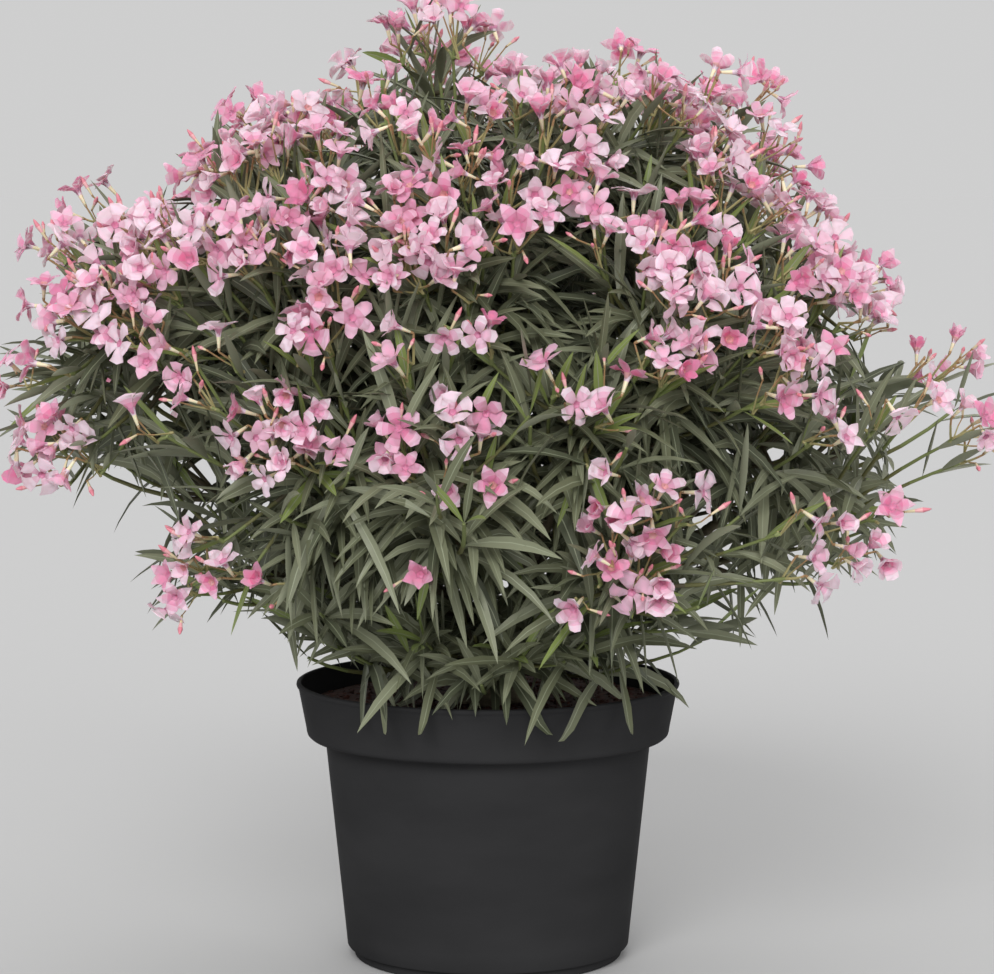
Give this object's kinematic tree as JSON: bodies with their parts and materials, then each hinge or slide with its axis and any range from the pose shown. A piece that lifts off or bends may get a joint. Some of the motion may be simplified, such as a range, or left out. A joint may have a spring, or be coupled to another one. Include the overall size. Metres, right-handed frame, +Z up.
{
  "type": "potted oleander shrub",
  "caption": "Rounded flowering oleander shrub with narrow leaves and star-shaped blooms, standing in a tapered round nursery pot with a deep collar",
  "frame": {"origin": "centre of the pot's flat underside, on the pot's axis", "axes": "+Z up along the pot's axis, -Y towards the side that is seen first, +X to that side's right"},
  "size_m": [1.0517, 0.9842, 1.0208],
  "materials": {
    "pot_plastic": "satin black injection-moulded plastic",
    "potting_soil": "moist peat potting soil",
    "bark": "smooth grey-brown bark",
    "foliage": "grey-green leathery leaves with pale pink petals"
  },
  "bodies": {
    "root": {"pot": "pot_plastic", "soil": "potting_soil", "root_crown": "bark", "limb_left": "bark", "bough_left_bottom": "bark", "bough_left_low": "bark", "bough_left_middle": "bark", "bough_left_high": "bark", "limb_front_left": "bark", "bough_front_middle": "bark", "bough_front_left": "bark", "bough_front_left_high": "bark", "limb_front_right": "bark", "bough_front_right_low": "bark", "bough_front_right": "bark", "bough_front_right_high": "bark", "bough_front_high": "bark", "limb_right": "bark", "bough_right_low": "bark", "bough_right_far": "bark", "bough_right_middle": "bark", "bough_right_high": "bark", "limb_back": "bark", "bough_back_low": "bark", "bough_back_left": "bark", "bough_back_right": "bark", "bough_back_high": "bark", "limb_top": "bark", "bough_top_left": "bark", "bough_top_right": "bark", "bough_top_middle": "bark", "bough_top_peak": "bark", "foliage_left_bottom": "foliage", "foliage_left_low": "foliage", "foliage_left_middle": "foliage", "foliage_left_high": "foliage", "foliage_front_middle": "foliage", "foliage_front_left": "foliage", "foliage_front_left_high": "foliage", "foliage_front_right_low": "foliage", "foliage_front_right": "foliage", "foliage_front_right_high": "foliage", "foliage_front_high": "foliage", "foliage_right_low": "foliage", "foliage_right_far": "foliage", "foliage_right_middle": "foliage", "foliage_right_high": "foliage", "foliage_back_low": "foliage", "foliage_back_left": "foliage", "foliage_back_right": "foliage", "foliage_back_high": "foliage", "foliage_top_left": "foliage", "foliage_top_right": "foliage", "foliage_top_middle": "foliage", "foliage_top_peak": "foliage", "foliage_skirt_front": "foliage", "foliage_skirt_right": "foliage", "foliage_skirt_left": "foliage", "foliage_skirt_back_left": "foliage", "foliage_skirt_back_right": "foliage"}
  },
  "joints": []
}
